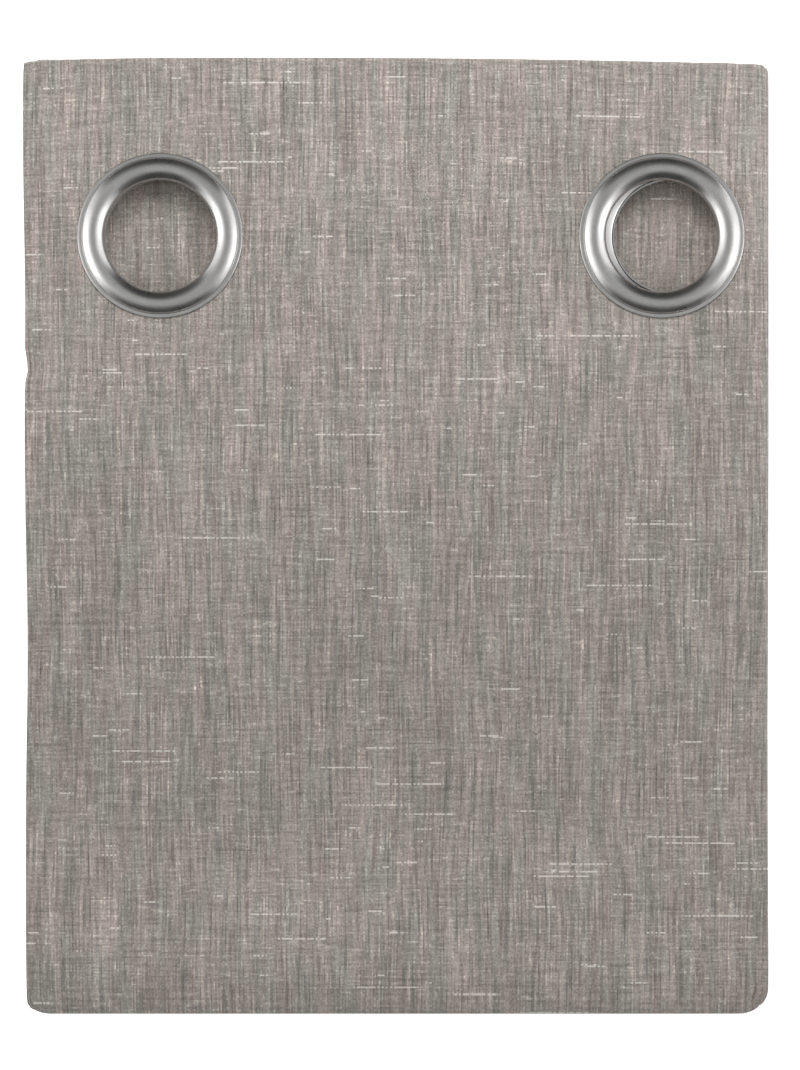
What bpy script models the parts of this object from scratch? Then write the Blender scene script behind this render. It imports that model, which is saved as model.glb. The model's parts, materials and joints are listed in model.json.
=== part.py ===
"""Grommet-top curtain panel, folded flat, as cloth leaves, folds, a stiffener and grommets.

The panel is doubled, back to back, and folded in three across its width, and then into six leaves
along its length. X is the bundle's width, +Y points to the header and +Z is up, away from the
surface that it lies on. The six plies of a leaf are A1, B1, B2, A2, A3 and B3 from its outer side:
A is one half of the panel and B is the other, and they meet at the panel's middle.
"""

from functools import lru_cache
from math import cos, pi, sin

import bmesh
import bpy

# The bundle, in metres.
BUNDLE_WIDTH = 0.2811
BUNDLE_LENGTH = 0.366
LEAF_COUNT = 6

# Cloth, and the gaps that keep its plies and leaves apart.
PLY = 0.00045
PLY_GAP = 0.00015
LEAF_GAP = 0.0003
END_GAP = 0.0003
BACK_EDGE_SETBACK = 0.0015
LEFT_TURN_SETBACK = 0.001

# Folds: the first one is left round, the others are pressed.
FIRST_FOLD_OPENING = 0.006
FIRST_FOLD_EASE = 0.07
FOLD_STAGGER = 0.00035

# Header band with its stiffener, and the bottom hem.
HEADER_DEPTH = 0.117
FLAT_BY_FOLD = 0.015
STIFFENER = 0.0005
POCKET_GAP = 0.0002
STIFFENER_MARGIN = 0.002
STIFFENER_SIDE_INSET = 0.012
HEM_DEPTH = 0.076
HEM_RAMP = 0.012
EDGE_SETBACK = 0.0001

# Grommets: a domed ring with a barrel, and a back washer.
RING_RADIUS = 0.031
THROAT_RADIUS = 0.021
RING_RISE = 0.0031
LIP_WIDTH = 0.0014
LIP_RISE = 0.0007
METAL = 0.0005
SEAT_GAP = 0.0002
WASHER_RADIUS = 0.030
WASHER = 0.001
WASHER_BEVEL = 0.0005
BARREL_CLEARANCE = 0.0003
HOLE_CLEARANCE = 0.0004
STACK_CLEARANCE = 0.0003

# Where the grommets are: their pitch, the first one's place, and how far the plies slipped.
GROMMET_PITCH = 0.1886
FIRST_GROMMET = 0.0516
GROMMET_DROP = 0.0665
LEFT_SLIP = 0.0002
RIGHT_SLIP = 0.0032

# How finely round shapes are cut up.
RING_STEPS = 20
OUTER_TURN_STEPS = 6
INNER_TURN_STEPS = 3
FOLD_STEPS = 4
RAMP_STEPS = 8

# What follows from the sizes above.
LEFT = -BUNDLE_WIDTH / 2
RIGHT = BUNDLE_WIDTH / 2
BARREL_RADIUS = THROAT_RADIUS + METAL
HEADER_STACK = 2 * PLY + STIFFENER + 2 * POCKET_GAP
HEM_STACK = 2 * PLY + PLY_GAP
WASHER_SPACE = 2 * (SEAT_GAP + WASHER) + STACK_CLEARANCE
HEADER_PAIR = 2 * HEADER_STACK + WASHER_SPACE
ONE_RING = RING_RISE + STACK_CLEARANCE
HALF_PANEL = FIRST_GROMMET + 3.5 * GROMMET_PITCH
LEAF = 6 * PLY + 5 * PLY_GAP
HEM_RISE = 6 * (HEM_STACK - PLY)
PRESSED_FOLD = LEAF + LEAF_GAP / 2
FIRST_FOLD = LEAF + FIRST_FOLD_OPENING / 2
TOP_LINE = BUNDLE_LENGTH / 2 - PRESSED_FOLD
BOTTOM_LINE = -TOP_LINE
FIRST_LINE = BOTTOM_LINE + FIRST_FOLD + FOLD_STAGGER
HEADER_EDGE = TOP_LINE - EDGE_SETBACK
FACING_EDGE = HEADER_EDGE - HEADER_DEPTH
HEM_FACING_EDGE = HEADER_EDGE - HEM_DEPTH
GROMMET_Y = HEADER_EDGE - GROMMET_DROP

# The header gets its full thickness gradually, from near the first fold.
HEADER_RAMP = FACING_EDGE - FIRST_LINE - FLAT_BY_FOLD

# The line of each fold along Y, from fold 1 down to fold 5.
FOLD_LINES = {1: FIRST_LINE, 2: TOP_LINE, 3: BOTTOM_LINE, 4: TOP_LINE, 5: BOTTOM_LINE}

LEAF_NAMES = {1: "leaf_1_header", LEAF_COUNT: f"leaf_{LEAF_COUNT}_hem"}

COLOURS = {
    "cloth": ((0.30, 0.27, 0.245, 1), 0.9, 0.0),
    "stiffener": ((0.75, 0.75, 0.72, 1), 0.85, 0.0),
    "nickel": ((0.62, 0.61, 0.58, 1), 0.28, 1.0),
}


def layer_place(along, right_outer, right, left_inner, left):
    """A place along half of the panel, as its x and the layer of the three that it is in."""
    first = right_outer - LEFT
    second = first + pi * right + right_outer - left_inner
    if along < first:
        return LEFT + along, 1
    if along < second:
        return right_outer - (along - first - pi * right), 2
    return left_inner + along - second - pi * left, 3


def grommet_layers(*turns):
    """Each grommet of half the panel, as its x, its layer and how far its other half slipped."""
    return [
        (*layer_place(FIRST_GROMMET + number * GROMMET_PITCH, *turns), slip)
        for number, slip in enumerate((LEFT_SLIP, RIGHT_SLIP, 0, 0))
    ]


def facing_rings_meet():
    """Whether rings that look at each other across a gap lie one over the other."""
    right, left = HEADER_PAIR + ONE_RING / 2, ONE_RING / 2
    left_inner = LEFT + LEFT_TURN_SETBACK + left + 2 * HEADER_STACK + PLY_GAP
    layers = grommet_layers(RIGHT - right, right, left_inner, left)
    return any(
        below == layer + 1 and abs(x + slip - other) < 2 * RING_RADIUS + STACK_CLEARANCE
        for x, layer, slip in layers
        for other, below, _ in layers
    )


RING_SPACE = ONE_RING + (RING_RISE if facing_rings_meet() else 0)


def smooth(value, low, high):
    """0 below low, 1 above high, with level ends between."""
    share = min(max((value - low) / (high - low), 0), 1)
    return share * share * (3 - 2 * share)


def mixed(low, high, share):
    return low + (high - low) * share


def steps(low, high, count):
    return [mixed(low, high, i / count) for i in range(count + 1)]


def header_share(y):
    """How far the top leaf has opened up to its header's full thickness."""
    return smooth(y, FACING_EDGE - HEADER_RAMP, FACING_EDGE - STIFFENER_MARGIN)


def hem_share(y):
    """How far the lowest leaf has thickened to its doubled hem."""
    return smooth(y, HEM_FACING_EDGE - HEM_RAMP, HEM_FACING_EDGE - EDGE_SETBACK)


def leaf_stack(leaf, y):
    """How thick one ply is, with what is turned back or held inside it."""
    if leaf == 1:
        return mixed(PLY, HEADER_STACK, header_share(y))
    if leaf == LEAF_COUNT:
        return mixed(PLY, HEM_STACK, hem_share(y))
    return PLY


def leaf_levels(leaf, y):
    """Heights of the outward cloth faces B3, A3, A2, B2, B1 and A1 over a leaf's underside."""
    share = header_share(y) if leaf == 1 else 0.0
    pair = 2 * leaf_stack(leaf, y) + mixed(PLY_GAP, WASHER_SPACE, share)
    rings = mixed(PLY_GAP, RING_SPACE, share)
    levels = [ONE_RING * share]
    for rise in (pair, rings, pair, rings, pair):
        levels.append(levels[-1] + rise)
    return levels


def leaf_base(leaf, y):
    """Height of a leaf's underside over the surface that the bundle lies on."""
    plain = (LEAF_COUNT - leaf) * (LEAF + LEAF_GAP)
    if leaf == LEAF_COUNT:
        return 0.0
    if leaf == 1:
        eased = 1 - smooth(y, FIRST_LINE, FIRST_LINE + FIRST_FOLD_EASE)
        return plain + HEM_RISE * header_share(y) + (FIRST_FOLD_OPENING - LEAF_GAP) * eased
    return plain + HEM_RISE * hem_share(y)


def run(x_from, x_to, z, inward):
    """A flat stretch of ply, and which way its inward side lies."""
    return [(x, z, 0.0, inward) for x in (x_from, x_to)]


def turn(x, low, high, start, end, inward):
    """The arc between two plies, with its inward side towards the centre (-1) or away from it."""
    radius = (high - low) / 2
    count = OUTER_TURN_STEPS if inward < 0 else INNER_TURN_STEPS
    return [
        (x + radius * cos(a), low + radius + radius * sin(a), inward * cos(a), inward * sin(a))
        for a in steps(start, end, count)[1:-1]
    ]


def turn_places(leaf, y):
    """Centres along X of the right outer, right inner, left outer, left inner and middle turns."""
    b3, a3, a2, b2, b1, a1 = leaf_levels(leaf, y)
    wraps = 2 * leaf_stack(leaf, y) + PLY_GAP
    right, left = (a1 - a2) / 2, (b2 - b3) / 2
    right_outer = RIGHT - right
    right_inner = right_outer + right - (b1 - b2) / 2 - wraps
    left_outer = LEFT + LEFT_TURN_SETBACK + left
    left_inner = left_outer - left + (a2 - a3) / 2 + wraps
    spent = (right_outer - LEFT) + pi * right + (right_outer - left_inner) + pi * (a2 - a3) / 2
    middle = left_inner + HALF_PANEL - spent - pi * (a3 - b3) / 4
    return right_outer, right_inner, left_outer, left_inner, middle


@lru_cache(maxsize=None)
def ply_path(leaf, y, inset=0.0):
    """The cloth's outward face across the width, as (x, z, inward x, inward z) points.

    It runs from one side hem along A1, A2 and A3 to the panel's middle, and back along B3, B2
    and B1 to the other side hem. Every other leaf is turned over.
    """
    b3, a3, a2, b2, b1, a1 = leaf_levels(leaf, y)
    right_outer, right_inner, left_outer, left_inner, middle = turn_places(leaf, y)
    points = run(LEFT + inset, right_outer, a1, -1)
    points += turn(right_outer, a2, a1, pi / 2, -pi / 2, -1)
    points += run(right_outer, left_inner, a2, 1)
    points += turn(left_inner, a3, a2, pi / 2, 3 * pi / 2, 1)
    points += run(left_inner, middle, a3, -1)
    points += turn(middle, b3, a3, pi / 2, -pi / 2, -1)
    points += run(middle, left_outer, b3, 1)
    points += turn(left_outer, b3, b2, 3 * pi / 2, pi / 2, -1)
    points += run(left_outer, right_inner, b2, -1)
    points += turn(right_inner, b2, b1, -pi / 2, pi / 2, 1)
    points += run(right_inner, LEFT + inset + BACK_EDGE_SETBACK, b1, 1)
    base = leaf_base(leaf, y)
    if leaf % 2:
        return [(x, base + z, nx, nz) for x, z, nx, nz in points]
    return [(x, base + a1 - z, nx, -nz) for x, z, nx, nz in points]


def placed(leaf, index, y, depth, inset=0.0):
    """A point of the cloth, at a depth under its outward face."""
    x, z, nx, nz = ply_path(leaf, y, inset)[index]
    return x + nx * depth, y, z + nz * depth


def swept(rows):
    """A closed solid through outlines that run out along one side of the cloth and back along
    the other, so that each end closes with a quad between every two pairs of points."""
    mesh = bmesh.new()
    rings = [[mesh.verts.new(point) for point in row] for row in rows]
    for here, there in zip(rings, rings[1:]):
        for i in range(len(here)):
            mesh.faces.new((here[i - 1], here[i], there[i], there[i - 1]))
    for ring in (rings[0], rings[-1]):
        back = ring[::-1]
        for i in range(1, len(ring) // 2):
            mesh.faces.new((ring[i - 1], ring[i], back[i], back[i - 1]))
    bmesh.ops.triangulate(mesh, faces=mesh.faces[:])
    bmesh.ops.recalc_face_normals(mesh, faces=mesh.faces[:])
    return mesh


def cloth_solid(leaf, outline, inset=0.0):
    """The outline, as (y, depth) points, carried along the cloth's path across the width."""
    count = len(ply_path(leaf, outline[0][0], inset))
    return swept(
        [[placed(leaf, i, y, depth, inset) for y, depth in outline] for i in range(count)]
    )


def leaf_ends(leaf):
    """Where a leaf begins and ends along Y."""
    lines = [FOLD_LINES.get(leaf - 1), FOLD_LINES.get(leaf)]
    known = [line for line in lines if line is not None]
    south = min(known) + END_GAP
    north = max(known) - END_GAP if len(known) == 2 else HEADER_EDGE
    return south, north


def leaf_stations(leaf):
    """The Y places where a leaf bends."""
    south, north = leaf_ends(leaf)
    places = set(steps(HEM_FACING_EDGE - HEM_RAMP, HEM_FACING_EDGE - EDGE_SETBACK, RAMP_STEPS // 2))
    if leaf == 1:
        places = set(steps(FIRST_LINE, FIRST_LINE + FIRST_FOLD_EASE, RAMP_STEPS))
        low, high = FACING_EDGE - HEADER_RAMP, FACING_EDGE - STIFFENER_MARGIN
        places |= set(steps(low, high, RAMP_STEPS))
    return [south] + sorted(y for y in places if south < y < north) + [north]


def plain_outline(leaf):
    places = leaf_stations(leaf)
    return [(y, 0.0) for y in places] + [(y, PLY) for y in reversed(places)]


def turned_outline(leaf, stack, facing_edge):
    """A ply whose far edge turns back under itself and comes down to the facing's edge."""
    half = stack / 2
    centre = HEADER_EDGE - half
    places = [y for y in leaf_stations(leaf) if y < centre]
    turned = [y for y in places if y > facing_edge]
    bend = [pi / 2 - a for a in steps(0, pi, 6)]
    outline = [(y, 0.0) for y in places]
    outline += [(centre + half * cos(a), half - half * sin(a)) for a in bend]
    outline += [(y, stack) for y in reversed(turned)]
    outline += [(facing_edge, stack), (facing_edge, stack - PLY)]
    outline += [(y, stack - PLY) for y in turned]
    inner = half - PLY
    outline += [(centre + inner * cos(a), half - inner * sin(a)) for a in reversed(bend)]
    outline += [(y, PLY) for y in reversed(places)]
    return outline


def leaf_solid(leaf):
    if leaf == 1:
        return cloth_solid(leaf, turned_outline(leaf, HEADER_STACK, FACING_EDGE))
    if leaf == LEAF_COUNT:
        return cloth_solid(leaf, turned_outline(leaf, HEM_STACK, HEM_FACING_EDGE))
    return cloth_solid(leaf, plain_outline(leaf))


def stiffener_solid():
    """The band inside the header's pocket, between the face and the facing."""
    low = FACING_EDGE + STIFFENER_MARGIN
    high = HEADER_EDGE - HEADER_STACK / 2
    near = PLY + POCKET_GAP
    far = near + STIFFENER
    return cloth_solid(1, [(low, near), (high, near), (high, far), (low, far)], STIFFENER_SIDE_INSET)


def hinge_height(fold):
    """A fold's hinge is midway between the two leaves that it joins."""
    y = FOLD_LINES[fold]
    top_of_lower = leaf_base(fold + 1, y) + leaf_levels(fold + 1, y)[-1]
    return (top_of_lower + leaf_base(fold, y)) / 2


def fold_solid(fold):
    """All six plies carried round a fold's hinge, from the upper leaf to the lower one."""
    y, z = FOLD_LINES[fold], hinge_height(fold)
    count = len(ply_path(fold, y))
    section = [placed(fold, i, y, 0.0) for i in range(count)]
    section += [placed(fold, i, y, PLY) for i in reversed(range(count))]
    outward = 1 if y > 0 else -1
    return swept(
        [
            [(px, y + outward * (pz - z) * sin(a), z + (pz - z) * cos(a)) for px, _, pz in section]
            for a in steps(0, pi, FOLD_STEPS)
        ]
    )


def lathed(outline):
    """A closed outline of (radius, height) points turned about Z."""
    mesh = bmesh.new()
    corners = [mesh.verts.new((radius, 0.0, height)) for radius, height in outline]
    edges = [mesh.edges.new(pair) for pair in zip(corners, corners[1:] + corners[:1])]
    bmesh.ops.spin(
        mesh,
        geom=corners + edges,
        cent=(0, 0, 0),
        axis=(0, 0, 1),
        dvec=(0, 0, 0),
        angle=2 * pi,
        steps=RING_STEPS,
        use_merge=False,
        use_duplicate=False,
    )
    bmesh.ops.remove_doubles(mesh, verts=mesh.verts[:], dist=1e-6)
    bmesh.ops.recalc_face_normals(mesh, faces=mesh.faces[:])
    return mesh


def bow(centre, radii, start, end, count):
    """Points of an elliptical arc of the ring's section."""
    return [
        (centre[0] + radii[0] * cos(a), centre[1] + radii[1] * sin(a))
        for a in steps(start, end, count)
    ]


def ring_solid():
    """A grommet's front ring: lip, dome and barrel, with its seat at height 0."""
    dome_edge = RING_RADIUS - LIP_WIDTH
    crest = (THROAT_RADIUS + dome_edge) / 2
    reach = dome_edge - crest
    foot = -(HEADER_STACK + SEAT_GAP + WASHER)
    outline = [(RING_RADIUS, SEAT_GAP), (RING_RADIUS, LIP_RISE)]
    outline += bow((crest, LIP_RISE), (reach, RING_RISE - LIP_RISE), 0, pi / 2, 3)
    outline += bow((crest, 0), (reach, RING_RISE), pi / 2, pi, 3)[1:]
    outline += [(THROAT_RADIUS, foot), (BARREL_RADIUS, foot)]
    under = reach - METAL
    outline += bow((crest, 0), (under, RING_RISE - METAL), pi, pi / 2, 2)
    outline += bow((crest, SEAT_GAP), (under, RING_RISE - METAL - SEAT_GAP), pi / 2, 0, 2)[1:]
    return lathed(outline)


def washer_solid():
    near = -(HEADER_STACK + SEAT_GAP)
    far = near - WASHER
    bore = BARREL_RADIUS + BARREL_CLEARANCE
    outline = [
        (bore, near),
        (WASHER_RADIUS, near),
        (WASHER_RADIUS, far + WASHER_BEVEL),
        (WASHER_RADIUS - WASHER_BEVEL, far),
        (bore, far),
    ]
    return lathed(outline)


def grommet_places():
    """Each grommet's centre on the cloth face, as (x, y, z, way its face looks)."""
    b3, a3, a2, b2, b1, a1 = (
        leaf_base(1, GROMMET_Y) + level for level in leaf_levels(1, GROMMET_Y)
    )
    right_outer, _, _, left_inner, _ = turn_places(1, GROMMET_Y)
    layers = grommet_layers(right_outer, (a1 - a2) / 2, left_inner, (a2 - a3) / 2)
    faces = {1: (a1, b1, 1), 2: (a2, b2, -1), 3: (a3, b3, 1)}
    front, back = [], []
    for x, layer, slip in layers:
        a_face, b_face, way = faces[layer]
        front.append((x, GROMMET_Y, a_face, way))
        back.append((x + slip, GROMMET_Y, b_face, -way))
    return front + back[::-1]


def hinge_place(fold):
    return 0.0, FOLD_LINES[fold], hinge_height(fold)


def make_material(name):
    colour, roughness, metallic = COLOURS[name]
    material = bpy.data.materials.new(name)
    material.use_nodes = True
    shader = material.node_tree.nodes["Principled BSDF"]
    shader.inputs["Base Color"].default_value = colour
    shader.inputs["Roughness"].default_value = roughness
    shader.inputs["Metallic"].default_value = metallic
    return material


def add_object(name, mesh, material, carrier=None):
    """A solid drawn in world coordinates, as an object carried by an empty on its hinge."""
    if carrier:
        bmesh.ops.translate(mesh, vec=[-c for c in carrier["place"]], verts=mesh.verts[:])
    data = bpy.data.meshes.new(name)
    mesh.to_mesh(data)
    mesh.free()
    item = bpy.data.objects.new(name, data)
    item.data.materials.append(material)
    if carrier:
        item.parent = carrier["empty"]
    bpy.context.collection.objects.link(item)
    return item


def add_carriers():
    """An empty on each fold's hinge, chained from the lowest fold up."""
    carriers = {}
    below = None
    for fold in range(LEAF_COUNT - 1, 0, -1):
        place = hinge_place(fold)
        empty = bpy.data.objects.new(f"hinge_{fold}", None)
        bpy.context.collection.objects.link(empty)
        empty.parent = below["empty"] if below else None
        start = below["place"] if below else (0, 0, 0)
        empty.location = [a - b for a, b in zip(place, start)]
        below = carriers[fold] = {"empty": empty, "place": place}
    return carriers


def add_hole_cutter(carrier):
    """A short post through the cloth at each grommet, for the header and its stiffener."""
    mesh = bmesh.new()
    for x, y, z, way in grommet_places():
        made = bmesh.ops.create_cone(
            mesh,
            cap_ends=True,
            segments=RING_STEPS,
            radius1=BARREL_RADIUS + HOLE_CLEARANCE,
            radius2=BARREL_RADIUS + HOLE_CLEARANCE,
            depth=HEADER_STACK + 2 * SEAT_GAP,
        )
        middle = z - way * HEADER_STACK / 2
        bmesh.ops.translate(mesh, vec=(x, y, middle), verts=made["verts"])
    cutter = add_object("hole_cutter", mesh, bpy.data.materials["cloth"], carrier)
    cutter.hide_render = True
    cutter.display_type = "WIRE"
    return cutter


def cut_holes(item, cutter):
    cut = item.modifiers.new("grommet holes", "BOOLEAN")
    cut.operation = "DIFFERENCE"
    cut.solver = "EXACT"
    cut.object = cutter


def add_grommets(carrier, material):
    """A ring and a washer for each, turned over where the cloth faces down."""
    for number, (x, y, z, way) in enumerate(grommet_places(), 1):
        for kind, solid in (("ring", ring_solid), ("washer", washer_solid)):
            data = bpy.data.meshes.new(f"grommet_{number}_{kind}")
            mesh = solid()
            mesh.to_mesh(data)
            mesh.free()
            item = bpy.data.objects.new(data.name, data)
            item.data.materials.append(material)
            item.parent = carrier["empty"]
            item.location = [a - b for a, b in zip((x, y, z), carrier["place"])]
            item.rotation_euler = (0 if way > 0 else pi, 0, 0)
            bpy.context.collection.objects.link(item)


def main():
    for item in list(bpy.data.objects):
        bpy.data.objects.remove(item, do_unlink=True)
    cloth, stiffener, nickel = (make_material(name) for name in COLOURS)
    carriers = add_carriers()
    leaves = {}
    for leaf in range(1, LEAF_COUNT + 1):
        name = LEAF_NAMES.get(leaf, f"leaf_{leaf}")
        leaves[leaf] = add_object(name, leaf_solid(leaf), cloth, carriers.get(leaf))
    for fold in range(1, LEAF_COUNT):
        add_object(f"fold_{fold}", fold_solid(fold), cloth, carriers.get(fold + 1))
    band = add_object("header_stiffener", stiffener_solid(), stiffener, carriers[1])
    cutter = add_hole_cutter(carriers[1])
    cut_holes(leaves[1], cutter)
    cut_holes(band, cutter)
    add_grommets(carriers[1], nickel)


main()
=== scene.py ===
import json
from math import cos, pi, radians, sin

import bmesh
import bpy
import numpy as np
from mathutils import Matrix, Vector


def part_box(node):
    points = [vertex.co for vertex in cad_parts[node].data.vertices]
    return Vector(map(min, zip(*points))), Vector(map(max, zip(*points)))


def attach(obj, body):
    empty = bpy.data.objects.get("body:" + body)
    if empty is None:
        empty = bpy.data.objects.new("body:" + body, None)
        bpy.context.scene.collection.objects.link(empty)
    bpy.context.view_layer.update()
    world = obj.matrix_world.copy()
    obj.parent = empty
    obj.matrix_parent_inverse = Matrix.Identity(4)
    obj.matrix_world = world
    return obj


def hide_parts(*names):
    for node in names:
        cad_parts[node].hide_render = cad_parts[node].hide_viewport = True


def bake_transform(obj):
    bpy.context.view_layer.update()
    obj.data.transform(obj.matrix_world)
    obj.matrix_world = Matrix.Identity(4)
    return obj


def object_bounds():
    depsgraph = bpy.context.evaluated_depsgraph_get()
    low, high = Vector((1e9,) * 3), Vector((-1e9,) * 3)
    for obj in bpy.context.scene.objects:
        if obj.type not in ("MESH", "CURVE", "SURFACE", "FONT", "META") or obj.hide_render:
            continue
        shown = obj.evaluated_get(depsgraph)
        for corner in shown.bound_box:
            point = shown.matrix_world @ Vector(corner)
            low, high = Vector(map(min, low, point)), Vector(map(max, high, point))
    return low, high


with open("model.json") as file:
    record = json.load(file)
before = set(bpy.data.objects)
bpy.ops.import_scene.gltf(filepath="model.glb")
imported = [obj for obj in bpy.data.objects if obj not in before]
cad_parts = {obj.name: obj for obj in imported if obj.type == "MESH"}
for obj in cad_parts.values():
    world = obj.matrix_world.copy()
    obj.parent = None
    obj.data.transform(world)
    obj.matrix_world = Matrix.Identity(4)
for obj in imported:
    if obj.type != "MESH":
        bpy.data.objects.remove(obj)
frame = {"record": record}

cadBox = [list(corner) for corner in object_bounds()]
cadLow, cadHigh = (Vector(corner) for corner in cadBox)
print("frame loaded")

# ---------------------------------------------------------------- sizes shared by the cloth pieces

# the cloth and the fold, all in metres
panel = {
    "ply": 0.00045,
    "plyGap": 0.00015,
    "leafGap": 0.0003,
    "leaves": 6,
    "firstGrommet": 0.0516,
    "pitch": 0.1886,
    "backEdgeSetback": 0.0015,
    "leftTurnSetback": 0.001,
    "edgePoints": 9,  # points round the turned edge of a facing or a hem
    "sharpAngle": 50,
}

header = {
    "depth": 0.117,
    "flatByFold": 0.015,
    "margin": 0.002,
    "stack": 0.0018,
    "washerSpace": 0.0027,
    "ringSpace": 0.0034,
}

hem = {"depth": 0.076, "ramp": 0.012, "stack": 0.00105, "margin": 0.0001}

firstFold = {"opening": 0.006, "ease": 0.07}

# how the soft cloth departs from a perfect fold
softness = {
    "rightLoop": 0.0036,
    "rightSpan": 0.045,
    "leftReach": 0.03,
    "leftSway": 0.0007,
    "swayTurn": 1.7,
    "swayWaves": ((0.55, 21, 1.0), (0.45, 47, 2.1)),  # share, radians per metre, turns per leaf
    "spread": 0.0015,
    "pucker": 0.0012,
    "puckerPlace": 0.001,
    "puckerReach": 0.004,
    "looseSpan": (0.02, 0.006),  # how far under the facing's edge every ply can move
    "topBow": (0.0016, 0.0026),
    "topRise": 0.0006,
    "topPeak": 0.36,
    "firstFoldReach": 1.65,
    "foldRoll": 0.008,
    "foldDip": 0.0009,
    "swell": 0.0007,
    "swellStart": 0.03,
    "swellWaves": ((31, 9, 0.6), (17, -38, 0.0)),  # radians per metre across and along, start
    "corners": {
        "bottomRight": (0.0105, 0.0100),
        "bottomLeft": (0.0085, 0.0055),
        "topLeft": (0.0025, 0.0025),
        "topRight": (0.0050, 0.0045),
    },
}

left, right = cadLow.x, cadHigh.x
leafCount = panel["leaves"]
leafNodes = {1: "leaf_1_header", leafCount: "leaf_6_hem"}
hinges = {}
for joint in frame["record"]["behaviour"]["joints"]:
    hinges[int(joint["name"].split("_")[1])] = (joint["pos_m"][1], joint["pos_m"][2])
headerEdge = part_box("leaf_1_header")[1][1]
facingEdge = headerEdge - header["depth"]
hemFacingEdge = headerEdge - hem["depth"]
halfPanel = panel["firstGrommet"] + 3.5 * panel["pitch"]
panelWidth = 2 * halfPanel
leafLength = cadHigh.y - cadLow.y
leafThickness = 6 * panel["ply"] + 5 * panel["plyGap"]
hemRise = 6 * (hem["stack"] - panel["ply"])


def smooth(value, low, high):
    share = np.clip((np.asarray(value, float) - low) / (high - low), 0, 1)
    return share * share * (3 - 2 * share)


def mixed(low, high, share):
    return low + (high - low) * share


def headerShare(y):
    return smooth(y, hinges[1][0] + header["flatByFold"], facingEdge - header["margin"])


def hemShare(y):
    return smooth(y, hemFacingEdge - hem["ramp"], hemFacingEdge - hem["margin"])


def plyStack(leaf, y):
    if leaf == 1:
        return mixed(panel["ply"], header["stack"], headerShare(y))
    if leaf == leafCount:
        return mixed(panel["ply"], hem["stack"], hemShare(y))
    return np.full_like(y, panel["ply"])


# heights of the outward faces of the six plies over the leaf's underside, lowest first
def plyLevels(leaf, y):
    share = headerShare(y) if leaf == 1 else np.zeros_like(y)
    backGap = mixed(panel["plyGap"], header["washerSpace"], share)
    pair = 2 * plyStack(leaf, y) + backGap
    rings = mixed(panel["plyGap"], header["ringSpace"], share)
    levels = [header["ringSpace"] * share]
    for rise in (pair, rings, pair, rings, pair):
        levels.append(levels[-1] + rise)
    return levels, pair, backGap


def leafBase(leaf, y):
    plain = (leafCount - leaf) * (leafThickness + panel["leafGap"])
    if leaf == leafCount:
        return np.zeros_like(y)
    if leaf == 1:
        eased = 1 - smooth(y, hinges[1][0], hinges[1][0] + firstFold["ease"])
        opened = (firstFold["opening"] - panel["leafGap"]) * eased
        return plain + hemRise * headerShare(y) + opened
    return plain + hemRise * hemShare(y)


# one flat stretch of ply; its height may ease to another one towards the right edge
def plyRun(xFrom, xTo, z, inward, count, zRight=None):
    share = np.linspace(0, 1, count)[:, None]
    x = xFrom + (xTo - xFrom) * share + 0 * z
    height = z + 0 * x
    if zRight is not None:
        turnLine = np.maximum(xFrom, xTo)
        height = z + (zRight - z) * smooth(x, turnLine - softness["rightSpan"], turnLine)
    return x, height, 0 * x, inward + 0 * x


def plyTurn(x, low, radius, start, end, inward, count):
    angle = np.linspace(start, end, count + 1)[1:-1, None] + 0 * low
    across, up = np.cos(angle), np.sin(angle)
    return x + radius * across, low + radius + radius * up, inward * across, inward * up


# the cloth's outward face across the width at each y, from one side hem to the other
def plyPath(leaf, y, detail):
    (b3, a3, a2, b2, b1, a1), pair, backGap = plyLevels(leaf, y)
    loop = 0.0
    if leaf == 1:
        loop = softness["rightLoop"] * smooth(y, hinges[1][0], hinges[1][0] + firstFold["ease"])
    rightRadius = np.maximum((a1 - a2) / 2, loop)
    innerRadius = rightRadius - pair
    middleHeight = a2 + rightRadius
    nest = backGap - panel["plyGap"]
    leftRadius = (b2 - b3) / 2
    rightOuter = right - rightRadius
    rightInner = rightOuter + nest
    leftOuter = left + panel["leftTurnSetback"] + leftRadius
    leftInner = leftOuter - nest
    spent = (rightOuter - left) + pi * rightRadius + (rightOuter - leftInner)
    spent = spent + pi * (a2 - a3) / 2
    middle = leftInner + halfPanel - spent - pi * (a3 - b3) / 4
    edge = left + 0 * y
    half, full = pi / 2, pi
    fine = detail["face"]
    parts = [
        plyRun(edge, rightOuter, a1, -1, fine, middleHeight + rightRadius),
        plyTurn(rightOuter, a2, rightRadius, half, -half, -1, detail["turn"]),
        plyRun(rightOuter, leftInner, a2, 1, detail["inside"]),
        plyTurn(leftInner, a3, (a2 - a3) / 2, half, 3 * half, 1, detail["tight"]),
        plyRun(leftInner, middle, a3, -1, detail["inside"] // 2),
        plyTurn(middle, b3, (a3 - b3) / 2, half, -half, -1, detail["tight"]),
        plyRun(middle, leftOuter, b3, 1, detail["inside"] // 2),
        plyTurn(leftOuter, b3, leftRadius, 3 * half, half, -1, detail["turn"]),
        plyRun(leftOuter, rightInner, b2, -1, detail["behind"], middleHeight - innerRadius),
        plyTurn(rightInner, middleHeight - innerRadius, innerRadius, -half, half, 1,
                detail["tight"]),
        plyRun(rightInner, edge + panel["backEdgeSetback"], b1, 1, detail["behind"],
               middleHeight + innerRadius),
    ]
    x, z, nx, nz = (np.concatenate([part[i] for part in parts]) for i in range(4))
    steps = np.hypot(np.diff(x, axis=0), np.diff(z, axis=0))
    along = np.concatenate([0 * x[:1], np.cumsum(steps, 0)])
    base = leafBase(leaf, y)
    if leaf % 2 == 0:
        z, nz = a1 - z, -nz
    return x, base + z, nx, nz, along


# ---------------------------------------------------------------- how the cloth relaxes

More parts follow.
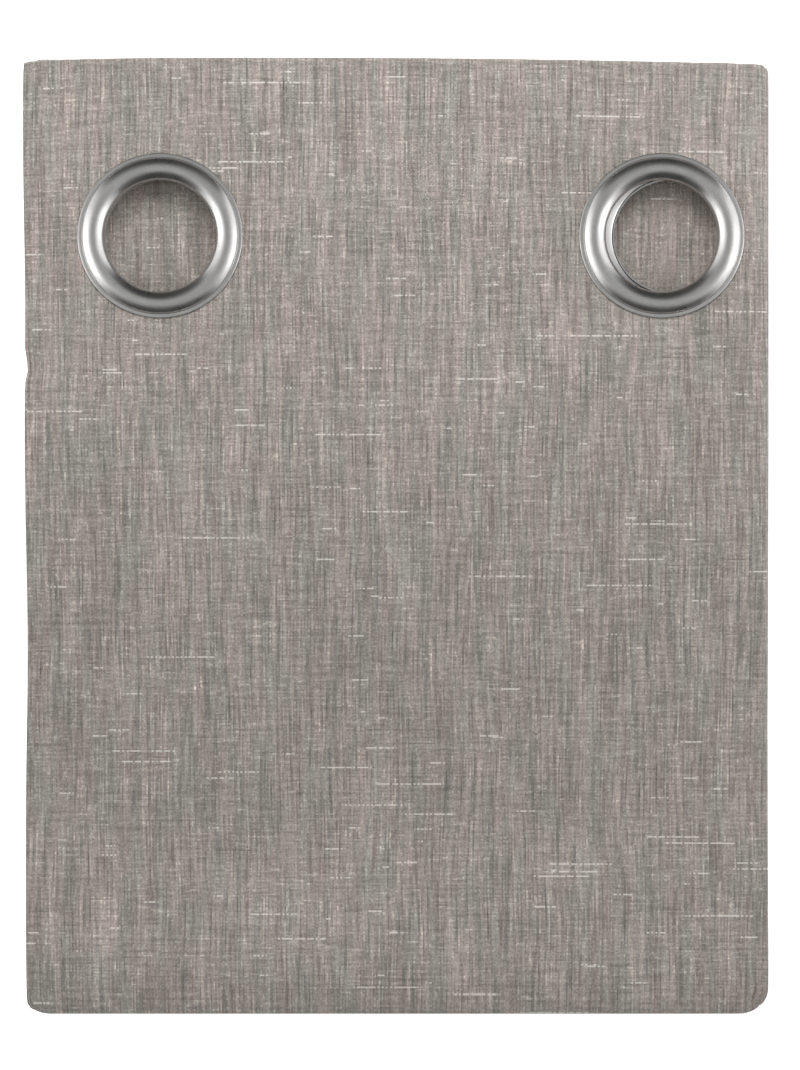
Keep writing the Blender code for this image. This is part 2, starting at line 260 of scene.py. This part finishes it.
def edgeSway(y, leaf):
    turn = softness["swayTurn"] * leaf
    sway = sum(share * np.sin(y * rate + turns * turn)
               for share, rate, turns in softness["swayWaves"])
    return softness["leftSway"] * sway


def roundedCorner(x, y, cornerX, cornerY, size):
    # a square corner of this size becomes a quarter of an ellipse
    dx = (x - cornerX) / size[0] * (1 if cornerX > 0 else -1) + 1
    dy = (y - cornerY) / size[1] * (1 if cornerY > 0 else -1) + 1
    inside = (dx > 0) & (dy > 0)
    far = np.maximum(dx, dy)
    pull = np.where(inside, far / np.maximum(np.hypot(dx, dy), 1e-9), 1.0)
    newX = cornerX + (dx * pull - 1) * size[0] * (1 if cornerX > 0 else -1)
    newY = cornerY + (dy * pull - 1) * size[1] * (1 if cornerY > 0 else -1)
    return np.where(inside, newX, x), np.where(inside, newY, y)


def relaxed(points, leaf):
    x, y, z = points[..., 0].copy(), points[..., 1].copy(), points[..., 2].copy()
    nearLeft = 1 - smooth(x, left, left + softness["leftReach"])
    nearRight = smooth(x, right - softness["leftReach"], right)
    loose = np.ones_like(x)
    if leaf == 1:
        # beside the stiffener only the front plies can move
        farther, nearer = softness["looseSpan"]
        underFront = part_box("grommet_8_ring")[0][2]
        front = smooth(z, underFront, underFront + panel["ply"])
        loose = mixed(front, 1, 1 - smooth(y, facingEdge - farther, facingEdge - nearer))
        notchY = facingEdge + softness["puckerPlace"]
        notch = np.exp(-(((y - notchY) / softness["puckerReach"]) ** 2))
        x += softness["pucker"] * notch * nearLeft ** 3 * loose
    x += (softness["leftSway"] + edgeSway(y, leaf)) * nearLeft * loose
    if leaf == 1:
        swellEnd = hinges[1][0] + softness["swellStart"]
        free = (1 - headerShare(y)) * smooth(y, hinges[1][0], swellEnd)
        # the waves run from 0 to 1 and never below, so the face stays over its plies
        waves = sum((0.25 * np.sin(rateX * x + rateY * y + start)
                     for rateX, rateY, start in softness["swellWaves"]), 0.5)
        z += softness["swell"] * waves * free
        onFace = smooth(z, hinges[1][1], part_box("fold_1")[1][2])
        rolling = 1 - smooth(y, hinges[1][0], hinges[1][0] + softness["foldRoll"])
        z -= softness["foldDip"] * rolling * onFace
        x += softness["spread"] * (1 - headerShare(y)) * (nearRight - nearLeft)
        peak = left + softness["topPeak"] * (right - left)
        onLeft, onRight = softness["topBow"]
        bow = np.where(x < peak, onLeft * ((x - peak) / (left - peak)) ** 4,
                       onRight * ((x - peak) / (right - peak)) ** 2)
        y += (softness["topRise"] - bow) * smooth(y, facingEdge, headerEdge)
    top = headerEdge if leaf == 1 else cadHigh.y
    firstBulge = softness["firstFoldReach"] * (hinges[1][1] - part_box("fold_1")[0][2])
    bottom = hinges[1][0] - firstBulge if leaf == 1 else cadLow.y
    wide = softness["spread"] if leaf == 1 else 0
    for name, size in softness["corners"].items():
        cornerX = right + wide if name.endswith("Right") else left + softness["leftSway"] - wide
        cornerY = top if name.startswith("top") else bottom
        x, y = roundedCorner(x, y, cornerX, cornerY, size)
    return np.stack([x, y, z], axis=-1)


# ---------------------------------------------------------------- cloth meshes

# places along the leaf, from its far end to its hinge, then round the fold
def leafStations(leaf, spacing, foldSteps):
    if leaf == leafCount:
        farY, nearY = headerEdge, hinges[leaf - 1][0]
    elif leaf == 1:
        farY, nearY = headerEdge, hinges[1][0]
    else:
        farY, nearY = hinges[leaf - 1][0], hinges[leaf][0]
    count = max(4, int(abs(farY - nearY) / spacing))
    y = np.linspace(farY, nearY, count + 1)
    bends = np.zeros_like(y)
    if leaf < leafCount:
        turns = np.linspace(0, pi, foldSteps + 1)[1:]
        y = np.concatenate([y, np.full(foldSteps, nearY)])
        bends = np.concatenate([bends, turns])
    return y, bends


def turnedEdge(y, bends, stack, facing):
    # the face ends in a half circle, comes back as the facing, and returns inside it
    half = stack / 2
    centre = headerEdge - half
    keep = (y < centre) | (bends > 0)
    y, bends = y[keep], bends[keep]
    back = y[(y > facing) & (bends == 0)]
    arc = np.linspace(-pi / 2, pi / 2, panel["edgePoints"])
    ply = panel["ply"]
    inner = half - ply
    rows = [
        (y[::-1], 0 * y, bends[::-1]),
        (centre + half * np.cos(arc), half + half * np.sin(arc), 0 * arc),
        (back, 0 * back + stack, 0 * back),
        (np.array([facing, facing]), np.array([stack, stack - ply]), np.zeros(2)),
        (back[::-1], 0 * back + stack - ply, 0 * back),
        (centre + inner * np.cos(arc[::-1]), half + inner * np.sin(arc[::-1]), 0 * arc),
        (y, 0 * y + ply, bends),
    ]
    return (np.concatenate([row[i] for row in rows]) for i in range(3))


def plainEdge(y, bends):
    ply = panel["ply"]
    return (
        np.concatenate([y[::-1], y]),
        np.concatenate([0 * y, 0 * y + ply]),
        np.concatenate([bends[::-1], bends]),
    )


def ribbonFaces(count, around):
    faces = []
    for i in range(count - 1):
        for j in range(around):
            k = (j + 1) % around
            row, after = i * around, (i + 1) * around
            faces.append((row + j, row + k, after + k, after + j))
    for row in (0, count - 1):
        start = row * around
        for j in range(around // 2 - 1):
            quad = (start + j, start + j + 1, start + around - 2 - j, start + around - 1 - j)
            faces.append(quad if row else quad[::-1])
    return faces


def newMesh(name, points, faces):
    mesh = bpy.data.meshes.new(name)
    mesh.from_pydata(points.reshape(-1, 3).tolist(), [], faces)
    shape = bmesh.new()
    shape.from_mesh(mesh)
    bmesh.ops.recalc_face_normals(shape, faces=shape.faces[:])
    shape.to_mesh(mesh)
    shape.free()
    return mesh


def leafMesh(leaf, detail):
    y, bends = leafStations(leaf, detail["spacing"], detail["foldSteps"])
    if leaf == 1:
        y, depth, bends = turnedEdge(y, bends, header["stack"], facingEdge)
    elif leaf == leafCount:
        y, depth, bends = turnedEdge(y, bends, hem["stack"], hemFacingEdge)
    else:
        y, depth, bends = plainEdge(y, bends)
    x, z, nx, nz, along = plyPath(leaf, y, detail)
    x, z = x + nx * depth, z + nz * depth
    yy = y + 0 * x
    length = headerEdge - yy if leaf == 1 else yy * (1 if leaf % 2 else -1)
    if leaf < leafCount:
        hingeY, hingeZ = hinges[leaf]
        outward = -1 if hingeY < 0 else 1
        radius = z - hingeZ
        rolled = bends > 0
        reach = outward * (softness["firstFoldReach"] if leaf == 1 else 1)
        # the first fold meets its leaf at a crease, the others roll round
        bulge = np.sin(bends) ** (2 if leaf == 1 else 1)
        yy = np.where(rolled, hingeY + reach * radius * bulge, yy)
        z = np.where(rolled, hingeZ + radius * np.cos(bends), z)
        length = length + np.where(rolled, np.abs(radius) * bends, 0)
    points = relaxed(np.stack([x, yy, z], axis=-1), leaf)
    count, around = x.shape
    mesh = newMesh(f"cloth_{leaf}", points, ribbonFaces(count, around))
    flat = np.stack([along, length + leafLength * (leaf - 1), 0 * x], axis=-1)
    flatPlace = mesh.attributes.new("flatPlace", "FLOAT_VECTOR", "POINT")
    flatPlace.data.foreach_set("vector", flat.astype(np.float32).ravel())
    foldShare = mesh.attributes.new("foldShare", "FLOAT", "POINT")
    foldShare.data.foreach_set("value", (bends / pi + 0 * x).astype(np.float32).ravel())
    return mesh


def makeObject(name, mesh, material):
    item = bpy.data.objects.new(name, mesh)
    bpy.context.scene.collection.objects.link(item)
    mesh.materials.clear()
    mesh.materials.append(material)
    return item


def applyModifiers(item):
    graph = bpy.context.evaluated_depsgraph_get()
    finished = bpy.data.meshes.new_from_object(item.evaluated_get(graph))
    item.modifiers.clear()
    item.data = finished


def shadeSoft(item, angle):
    mesh = item.data
    mesh.polygons.foreach_set("use_smooth", [True] * len(mesh.polygons))
    mesh.set_sharp_from_angle(angle=radians(angle))


# ---------------------------------------------------------------- materials

def addNode(tree, kind, values=None, **settings):
    node = tree.nodes.new(kind)
    for key, value in settings.items():
        setattr(node, key, value)
    for key, value in (values or {}).items():
        if isinstance(value, bpy.types.NodeSocket):
            tree.links.new(value, node.inputs[key])
        else:
            node.inputs[key].default_value = value
    return node


def calc(tree, operation, first, second=0.0, third=0.0):
    values = {0: first, 1: second, 2: third}
    return addNode(tree, "ShaderNodeMath", values, operation=operation).outputs[0]


def place(tree, x, y, z=0.0):
    return addNode(tree, "ShaderNodeCombineXYZ", {0: x, 1: y, 2: z}).outputs[0]


def grain(tree, vector, scale=1.0, detail=2.0, rough=0.5):
    values = {"Vector": vector, "Scale": scale, "Detail": detail, "Roughness": rough}
    return addNode(tree, "ShaderNodeTexNoise", values).outputs[0]


def dice(tree, x, y, z=0.0):
    return addNode(tree, "ShaderNodeTexWhiteNoise", {"Vector": place(tree, x, y, z)}).outputs[0]


def between(tree, value, low, high, toLow=0.0, toHigh=1.0):
    values = {0: value, 1: low, 2: high, 3: toLow, 4: toHigh}
    return addNode(tree, "ShaderNodeMapRange", values, interpolation_type="SMOOTHSTEP").outputs[0]


def blendColour(tree, share, first, second, mode="MIX"):
    node = addNode(tree, "ShaderNodeMix", {0: share, 6: first, 7: second}, data_type="RGBA",
                   blend_type=mode)
    return node.outputs[2]


def newMaterial(name):
    material = bpy.data.materials.new(name)
    material.use_nodes = True
    return material, material.node_tree, material.node_tree.nodes["Principled BSDF"]


weave = {
    "thread": 0.58,  # mm between threads
    "warm": (0.300, 0.258, 0.235, 1),
    "cool": (0.262, 0.250, 0.224, 1),
    "pale": (0.72, 0.69, 0.65, 1),
    "dark": (0.09, 0.085, 0.08, 1),
    "wander": (0.02, 3.0),  # how often and how far, in mm, the threads stray sideways
    "warpDrift": (5.3, 26.0),  # step from thread to thread, and mm along a thread
    "weftDrift": (4.7, 12.0),
    # grain size across and along in mm, its place in the noise, detail, roughness
    "fields": {
        "streak": (1.6, 60.0, 4.0, 3.0, 0.65),
        "patch": (11.0, 75.0, 8.0, 3.0, 0.6),
        "bands": (55.0, 1.4, 2.0, 2.0, 0.5),
        "hue": (5.0, 42.0, 21.0, 3.0, 0.6),
        "fine": (0.75, 0.75, 30.0, 2.0, 0.5),
    },
    # how strongly each of them changes the tone
    "swings": {"warp": 1.95, "weft": 0.95, "streak": 0.80, "patch": 0.48, "bands": 0.40,
               "fine": 0.45, "crossing": 0.34},
    # length of a slub's cell in mm, share of cells that have one, its place in the noise
    "fleck": (5.0, 0.10),
    "fleckPlaces": (41.0, 57.0),
    "longPale": (30.0, 0.010, 1.0),
    "shortPale": (9.0, 0.006, 31.0),
    "longDark": (30.0, 0.006, 67.0),
    "fleckLift": 0.34,
    "paleShare": 0.68,
    "darkShare": 0.35,
    "bumpDepth": 0.00022,
}

# a slub takes up part of its cell, fades at its ends, and is hidden where a warp thread is over it
dash = {"stagger": 7.0, "half": (0.12, 0.46), "fade": 0.04, "dot": 0.8, "hidden": (0.35, 0.75)}


# threads a little thicker than the rest, in dashes along the weft
def slubs(tree, across, down, length, share, seed):
    row = calc(tree, "FLOOR", calc(tree, "DIVIDE", down, weave["thread"]))
    shifted = calc(tree, "ADD", calc(tree, "DIVIDE", across, length),
                   calc(tree, "MULTIPLY", dice(tree, row, seed), dash["stagger"]))
    cell = calc(tree, "FLOOR", shifted)
    present = calc(tree, "GREATER_THAN", dice(tree, cell, row, seed + 3.0), 1 - share)
    offCentre = calc(tree, "ABSOLUTE", calc(tree, "SUBTRACT", calc(tree, "FRACT", shifted), 0.5))
    reach = between(tree, dice(tree, cell, row, seed + 9.0), 0.0, 1.0, *dash["half"])
    inRun = between(tree, calc(tree, "SUBTRACT", reach, offCentre), 0.0, dash["fade"])
    dot = calc(tree, "FLOOR", calc(tree, "DIVIDE", across, dash["dot"]))
    over = calc(tree, "MULTIPLY", calc(tree, "PINGPONG", dot, 1.0), 0.5)
    chance = calc(tree, "ADD", over, dice(tree, dot, row, seed + 5.0))
    dotted = between(tree, chance, *dash["hidden"])
    return calc(tree, "MULTIPLY", calc(tree, "MULTIPLY", present, inRun), dotted)


def clothMaterial():
    material, tree, shader = newMaterial("slubWeave")
    flat = addNode(tree, "ShaderNodeAttribute", attribute_name="flatPlace").outputs["Vector"]
    scaled = addNode(tree, "ShaderNodeVectorMath", {0: flat, 1: (1000, 1000, 1000)},
                     operation="MULTIPLY").outputs[0]
    parts = addNode(tree, "ShaderNodeSeparateXYZ", {0: scaled})
    often, far = weave["wander"]
    across = calc(tree, "MULTIPLY_ADD", grain(tree, scaled, often, 1.0), far, parts.outputs[0])
    down = parts.outputs[1]
    warpPlace = calc(tree, "DIVIDE", across, weave["thread"])
    weftPlace = calc(tree, "DIVIDE", down, weave["thread"])
    warp, weft = calc(tree, "FLOOR", warpPlace), calc(tree, "FLOOR", weftPlace)
    over = calc(tree, "PINGPONG", calc(tree, "ADD", warp, weft), 1.0)

    # each thread has its own tone, which drifts along it
    step, drift = weave["warpDrift"]
    warpTone = grain(tree, place(tree, calc(tree, "MULTIPLY", warp, step),
                                 calc(tree, "DIVIDE", down, drift)), 1.0, 3.0, 0.6)
    step, drift = weave["weftDrift"]
    weftTone = grain(tree, place(tree, calc(tree, "DIVIDE", across, drift),
                                 calc(tree, "MULTIPLY", weft, step), 11.0), 1.0, 3.0, 0.6)
    threadTone = calc(tree, "MULTIPLY_ADD", warpTone, 0.68, calc(tree, "MULTIPLY", weftTone, 0.32))
    values = {"warp": warpTone, "weft": weftTone}
    for name, (width, length, depth, detail, rough) in weave["fields"].items():
        where = place(tree, calc(tree, "DIVIDE", across, width),
                      calc(tree, "DIVIDE", down, length), depth)
        values[name] = grain(tree, where, 1.0, detail, rough)
    values["crossing"] = dice(tree, warp, weft)
    hue = between(tree, values["hue"], 0.38, 0.62)
    base = blendColour(tree, hue, weave["warm"], weave["cool"])

    tone = 1.0
    for name, amount in weave["swings"].items():
        swing = calc(tree, "SUBTRACT", values[name], 0.5)
        tone = calc(tree, "MULTIPLY", tone, calc(tree, "MULTIPLY_ADD", swing, amount, 1.0))
    # short light flecks, where a thread is thick, run both ways
    for first, second, seed in zip((across, down), (down, across), weave["fleckPlaces"]):
        fleck = slubs(tree, first, second, *weave["fleck"], seed)
        lift = calc(tree, "MULTIPLY_ADD", fleck, weave["fleckLift"], 1.0)
        tone = calc(tree, "MULTIPLY", tone, lift)
    shaded = addNode(tree, "ShaderNodeVectorMath", {0: base, "Scale": tone},
                     operation="SCALE").outputs[0]
    pale = slubs(tree, across, down, *weave["longPale"])
    short = slubs(tree, across, down, *weave["shortPale"])
    dark = slubs(tree, across, down, *weave["longDark"])
    paleShare = calc(tree, "MULTIPLY", calc(tree, "MAXIMUM", pale, short), weave["paleShare"])
    darkShare = calc(tree, "MULTIPLY", dark, weave["darkShare"])
    coloured = blendColour(tree, paleShare, shaded, weave["pale"])
    coloured = blendColour(tree, darkShare, coloured, weave["dark"])
    tree.links.new(coloured, shader.inputs["Base Color"])

    # crowned threads that pass over and under each other
    def crown(value):
        return calc(tree, "SINE", calc(tree, "MULTIPLY", calc(tree, "FRACT", value), pi))

    warpRelief = calc(tree, "MULTIPLY", crown(warpPlace), calc(tree, "SUBTRACT", 1.0, over))
    relief = calc(tree, "ADD", warpRelief, calc(tree, "MULTIPLY", crown(weftPlace), over))
    relief = calc(tree, "ADD", relief, calc(tree, "MULTIPLY", threadTone, 1.2))
    relief = calc(tree, "ADD", relief, calc(tree, "MULTIPLY", pale, 0.8))
    bump = addNode(tree, "ShaderNodeBump", {"Strength": 0.55, "Distance": weave["bumpDepth"],
                                            "Height": relief}).outputs[0]
    tree.links.new(bump, shader.inputs["Normal"])
    tree.links.new(between(tree, threadTone, 0.2, 0.8, 0.96, 0.82), shader.inputs["Roughness"])
    shader.inputs["Specular IOR Level"].default_value = 0.25
    shader.inputs["Sheen Weight"].default_value = 0.12
    shader.inputs["Sheen Roughness"].default_value = 0.5
    return material


nickel = {
    "colour": (0.64, 0.635, 0.625, 1),
    "dull": (0.54, 0.535, 0.525, 1),
    "roughness": (0.24, 0.34),
    "lines": 9000.0,
    "cloud": 120.0,
}

buckram = {"dull": (0.62, 0.61, 0.57, 1), "clean": (0.80, 0.79, 0.75, 1), "fibre": 900.0}


def nickelMaterial():
    material, tree, shader = newMaterial("satinNickel")
    where = addNode(tree, "ShaderNodeTexCoord").outputs["Object"]
    parts = addNode(tree, "ShaderNodeSeparateXYZ", {0: where})
    reach = calc(tree, "SQRT", calc(tree, "ADD", calc(tree, "POWER", parts.outputs[0], 2.0),
                                    calc(tree, "POWER", parts.outputs[1], 2.0)))
    # very fine turned lines round the ring, and a cloudy satin finish
    turned = place(tree, calc(tree, "MULTIPLY", reach, nickel["lines"]),
                   calc(tree, "MULTIPLY", parts.outputs[2], nickel["lines"]))
    lines = grain(tree, turned, 1.0, 2.0)
    cloud = grain(tree, where, nickel["cloud"], 4.0, 0.6)
    colour = blendColour(tree, between(tree, cloud, 0.3, 0.7), nickel["colour"], nickel["dull"])
    tree.links.new(colour, shader.inputs["Base Color"])
    shader.inputs["Metallic"].default_value = 1.0
    low, high = nickel["roughness"]
    tree.links.new(between(tree, cloud, 0.25, 0.75, low, high), shader.inputs["Roughness"])
    bump = addNode(tree, "ShaderNodeBump", {"Strength": 0.12, "Distance": 0.00002,
                                            "Height": lines}).outputs[0]
    tree.links.new(bump, shader.inputs["Normal"])
    return material


def buckramMaterial():
    material, tree, shader = newMaterial("stiffBuckram")
    where = addNode(tree, "ShaderNodeTexCoord").outputs["Object"]
    parts = addNode(tree, "ShaderNodeSeparateXYZ", {0: where})
    crossed = place(tree, calc(tree, "MULTIPLY", parts.outputs[0], buckram["fibre"]),
                    calc(tree, "MULTIPLY", parts.outputs[1], buckram["fibre"]))
    fibre = grain(tree, crossed, 1.0, 4.0, 0.7)
    colour = blendColour(tree, fibre, buckram["dull"], buckram["clean"])
    tree.links.new(colour, shader.inputs["Base Color"])
    shader.inputs["Roughness"].default_value = 0.9
    bump = addNode(tree, "ShaderNodeBump", {"Strength": 0.4, "Distance": 0.0001,
                                            "Height": fibre}).outputs[0]
    tree.links.new(bump, shader.inputs["Normal"])
    return material


cloth = clothMaterial()
metal = nickelMaterial()
print("materials made")

# ---------------------------------------------------------------- grommets

ringShape = {
    "outer": 0.031,
    "throat": 0.021,
    "rise": 0.0031,
    "lipWidth": 0.0014,
    "lipRise": 0.0007,
    "metal": 0.0005,
    "seat": 0.0002,
    "washer": 0.001,
    "washerOuter": 0.030,
    "boreSpare": 0.0003,
    "boreEdge": (0.0004, 0.0002),
    "lipSteps": 6,
    "domeSteps": 12,
    "throatSteps": 14,
    "underSteps": 6,
    "rimSteps": 8,
    "segments": 128,
    "sharpAngle": 40,
}


def arcPoints(centre, radii, start, end, count):
    return [(centre[0] + radii[0] * cos(a), centre[1] + radii[1] * sin(a))
            for a in np.linspace(start, end, count + 1)]


def lathe(name, outline, segments):
    shape = np.array(outline)
    angle = np.linspace(0, 2 * pi, segments, endpoint=False)[:, None]
    points = np.stack([shape[:, 0] * np.cos(angle), shape[:, 0] * np.sin(angle),
                       shape[:, 1] + 0 * angle], axis=-1)
    around = len(shape)
    faces = []
    for i in range(segments):
        j = (i + 1) % segments
        for k in range(around):
            m = (k + 1) % around
            faces.append((i * around + k, j * around + k, j * around + m, i * around + m))
    return newMesh(name, points, faces)


def ringMesh():
    s = ringShape
    domeEdge = s["outer"] - s["lipWidth"]
    crest = (s["throat"] + domeEdge) / 2
    reach = domeEdge - crest
    foot = -(header["stack"] + s["seat"] + s["washer"])
    lip = s["lipRise"] - s["seat"]
    lipCentre = (s["outer"] - lip / 2, s["seat"] + lip / 2)
    outline = arcPoints(lipCentre, (lip / 2, lip / 2), -pi / 2, pi / 2, s["lipSteps"])
    domeRadii = (reach, s["rise"] - s["lipRise"])
    outline += arcPoints((crest, s["lipRise"]), domeRadii, 0, pi / 2, s["domeSteps"])
    outline += arcPoints((crest, 0), (reach, s["rise"]), pi / 2, pi, s["throatSteps"])[1:]
    outline += [(s["throat"], foot / 2), (s["throat"], foot), (s["throat"] + s["metal"], foot)]
    under = reach - s["metal"]
    outline += arcPoints((crest, 0), (under, s["rise"] - s["metal"]), pi, pi / 2, s["underSteps"])
    flat = s["rise"] - s["metal"] - s["seat"]
    outline += arcPoints((crest, s["seat"]), (under, flat), pi / 2, 0, s["underSteps"])[1:]
    return lathe("ring", outline, s["segments"])


def washerMesh():
    s = ringShape
    near = -(header["stack"] + s["seat"])
    far = near - s["washer"]
    bore = s["throat"] + s["metal"] + s["boreSpare"]
    edge = s["washer"] / 2
    outline = [(bore, near)]
    rimCentre = (s["washerOuter"] - edge, near - edge)
    outline += arcPoints(rimCentre, (edge, edge), pi / 2, -pi / 2, s["rimSteps"])
    across, up = s["boreEdge"]
    outline += [(bore + across, far), (bore, far + up)]
    return lathe("washer", outline, s["segments"])


# a grommet's face is where its ring sits: under its dome, over or below the cloth
def grommetSeat(number):
    low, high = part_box(f"grommet_{number}_ring")
    washLow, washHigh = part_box(f"grommet_{number}_washer")
    way = 1 if washHigh[2] < (low[2] + high[2]) / 2 else -1
    crown = high[2] if way > 0 else low[2]
    return (low[0] + high[0]) / 2, (low[1] + high[1]) / 2, crown - way * ringShape["rise"], way


ring, washer = ringMesh(), washerMesh()
seats = []
for number in range(1, 9):
    x, y, z, way = grommetSeat(number)
    seats.append((x, y, z, way))
    for kind, mesh in (("ring", ring), ("washer", washer)):
        item = makeObject(f"grommet{kind.title()}{number}", mesh.copy(), metal)
        item.location = (x, y, z)
        item.rotation_euler = (0 if way > 0 else pi, 0, 0)
        shadeSoft(item, ringShape["sharpAngle"])
        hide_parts(f"grommet_{number}_{kind}")
        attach(item, "leaf_1")
print("grommets made")

# ---------------------------------------------------------------- cloth leaves

leafDetail = {
    "top": {"face": 110, "turn": 14, "inside": 40, "tight": 8, "behind": 60,
            "spacing": 0.004, "foldSteps": 14},
    "lower": {"face": 30, "turn": 8, "inside": 20, "tight": 5, "behind": 20,
              "spacing": 0.011, "foldSteps": 9},
}


holes = {"radius": 0.0219, "spare": 0.0006, "segments": 48}


def cutHoles(item):
    shape = bmesh.new()
    depth = header["stack"] + holes["spare"]
    for x, y, z, way in seats:
        made = bmesh.ops.create_cone(shape, cap_ends=True, segments=holes["segments"],
                                     radius1=holes["radius"], radius2=holes["radius"], depth=depth)
        middle = z - way * header["stack"] / 2
        bmesh.ops.translate(shape, vec=(x, y, middle), verts=made["verts"])
    cutterMesh = bpy.data.meshes.new("holes")
    shape.to_mesh(cutterMesh)
    shape.free()
    cutter = makeObject("holes", cutterMesh, cloth)
    cut = item.modifiers.new("holes", "BOOLEAN")
    cut.operation = "DIFFERENCE"
    cut.object = cutter
    applyModifiers(item)
    bpy.data.objects.remove(cutter, do_unlink=True)


def foldShares(item):
    # reads the share of its fold that each point has gone round
    shares = np.zeros(len(item.data.vertices), np.float32)
    item.data.attributes["foldShare"].data.foreach_get("value", shares)


for leaf in range(1, leafCount + 1):
    node = leafNodes.get(leaf, f"leaf_{leaf}")
    mesh = leafMesh(leaf, leafDetail["top" if leaf == 1 else "lower"])
    item = makeObject(f"clothLeaf{leaf}", mesh, cloth)
    if leaf == 1:
        cutHoles(item)
    shadeSoft(item, panel["sharpAngle"])
    if leaf < leafCount:
        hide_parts(node, f"fold_{leaf}")
        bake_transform(item)
        foldShares(item)
    else:
        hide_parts(node)
        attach(item, f"leaf_{leaf}")
    print("leaf", leaf, "made")

# the stiffener lies between the face and the facing and takes every turn of the header
stiffener = {"near": 0.00065, "far": 0.00115, "margin": 0.002, "inset": 0.012, "rows": 12}


def stiffenerMesh(detail):
    low, high = facingEdge + stiffener["margin"], headerEdge - header["stack"] / 2
    rows = np.linspace(low, high, stiffener["rows"])
    y = np.concatenate([rows, rows[::-1]])
    depth = np.concatenate([0 * rows + stiffener["near"], 0 * rows + stiffener["far"]])
    x, z, nx, nz, along = plyPath(1, y, detail)
    points = relaxed(np.stack([x + nx * depth, y + 0 * x, z + nz * depth], axis=-1), 1)
    kept = (along[:, 0] > stiffener["inset"]) & (along[:, 0] < along[-1, 0] - stiffener["inset"])
    points = points[kept]
    mesh = newMesh("stiffener", points, ribbonFaces(len(points), len(y)))
    return mesh, (panelWidth - 2 * stiffener["inset"], high - low)


stiffenerShape, stiffenerFlat = stiffenerMesh(leafDetail["top"])
item = makeObject("headerStiffener", stiffenerShape, buckramMaterial())
cutHoles(item)
shadeSoft(item, panel["sharpAngle"])
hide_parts("header_stiffener")
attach(item, "leaf_1")
print("stiffener made")

# ---------------------------------------------------------------- floor, light and camera

studio = {
    "floor": 3.0,
    "floorGlow": 0.65,
    "sides": 1.6,
    "key": 5.8,
    "walls": 1.12,
    "ceiling": 0.46,
    "above": 0.05,
    "backdrop": 1.0,
    "lens": 135,
    "view": 1.505,
    "aim": (0.00125, 0.0003),
    "floorDrop": 0.0003,
    "sideHeight": 0.75,
    "sideSize": (0.4, 0.9),
    "keyPlace": (0.0, 0.62, 0.65),
    "keySize": (0.8, 0.4),
}


def addFloor():
    material, tree, shader = newMaterial("paleFloor")
    mottled = grain(tree, addNode(tree, "ShaderNodeTexCoord").outputs["Object"], 3.0, 2.0)
    colour = blendColour(tree, mottled, (0.93, 0.93, 0.93, 1), (0.96, 0.96, 0.96, 1))
    tree.links.new(colour, shader.inputs["Base Color"])
    shader.inputs["Roughness"].default_value = 0.9
    shader.inputs["Emission Color"].default_value = (1, 1, 1, 1)
    shader.inputs["Emission Strength"].default_value = studio["floorGlow"]
    mesh = bpy.data.meshes.new("floor")
    half = studio["floor"]
    corners = [(-half, -half, 0), (half, -half, 0), (half, half, 0), (-half, half, 0)]
    mesh.from_pydata(corners, [], [(0, 1, 2, 3)])
    floor = makeObject("floor", mesh, material)
    floor.location.z = cadLow.z - studio["floorDrop"]


def addLight(name, location, size, energy):
    data = bpy.data.lights.new(name, "AREA")
    data.shape = "RECTANGLE"
    data.size, data.size_y = size
    data.energy = energy
    light = bpy.data.objects.new(name, data)
    light.location = location
    light.rotation_euler = (-Vector(location)).to_track_quat("-Z", "Y").to_euler()
    bpy.context.scene.collection.objects.link(light)
    return light


def addCamera():
    data = bpy.data.cameras.new("camera")
    data.lens = studio["lens"]
    data.sensor_width = 36
    camera = bpy.data.objects.new("camera", data)
    camera.location = (*studio["aim"], cadHigh.z + studio["view"])
    bpy.context.scene.collection.objects.link(camera)
    bpy.context.scene.camera = camera


# bright walls to the left and right, a dimmer ceiling, and dark walls above and below
def addWorld():
    world = bpy.context.scene.world or bpy.data.worlds.new("world")
    bpy.context.scene.world = world
    world.use_nodes = True
    tree = world.node_tree
    way = addNode(tree, "ShaderNodeTexCoord").outputs["Generated"]
    parts = addNode(tree, "ShaderNodeSeparateXYZ", {0: way})
    offAxis = calc(tree, "ABSOLUTE", parts.outputs[1])
    facing = calc(tree, "MULTIPLY_ADD", offAxis, -0.7, calc(tree, "ABSOLUTE", parts.outputs[0]))
    sides = between(tree, facing, 0.15, 0.45)
    room = between(tree, offAxis, 0.2, 0.6, studio["ceiling"], studio["above"])
    light = calc(tree, "MULTIPLY_ADD", sides, studio["walls"], room)
    seen = addNode(tree, "ShaderNodeLightPath").outputs["Is Camera Ray"]
    light = calc(tree, "MAXIMUM", light, calc(tree, "MULTIPLY", seen, studio["backdrop"]))
    tree.links.new(light, tree.nodes["Background"].inputs["Strength"])
    tree.nodes["Background"].inputs["Color"].default_value = (1, 1, 1, 1)


addFloor()
addWorld()
for name, x in (("leftSoftbox", -1.0), ("rightSoftbox", 1.0)):
    addLight(name, (x, 0.0, studio["sideHeight"]), studio["sideSize"], studio["sides"])
key = addLight("keySoftbox", studio["keyPlace"], studio["keySize"], studio["key"])
key.visible_glossy = False
bpy.context.scene.view_settings.view_transform = "Standard"
addCamera()
print("studio ready")
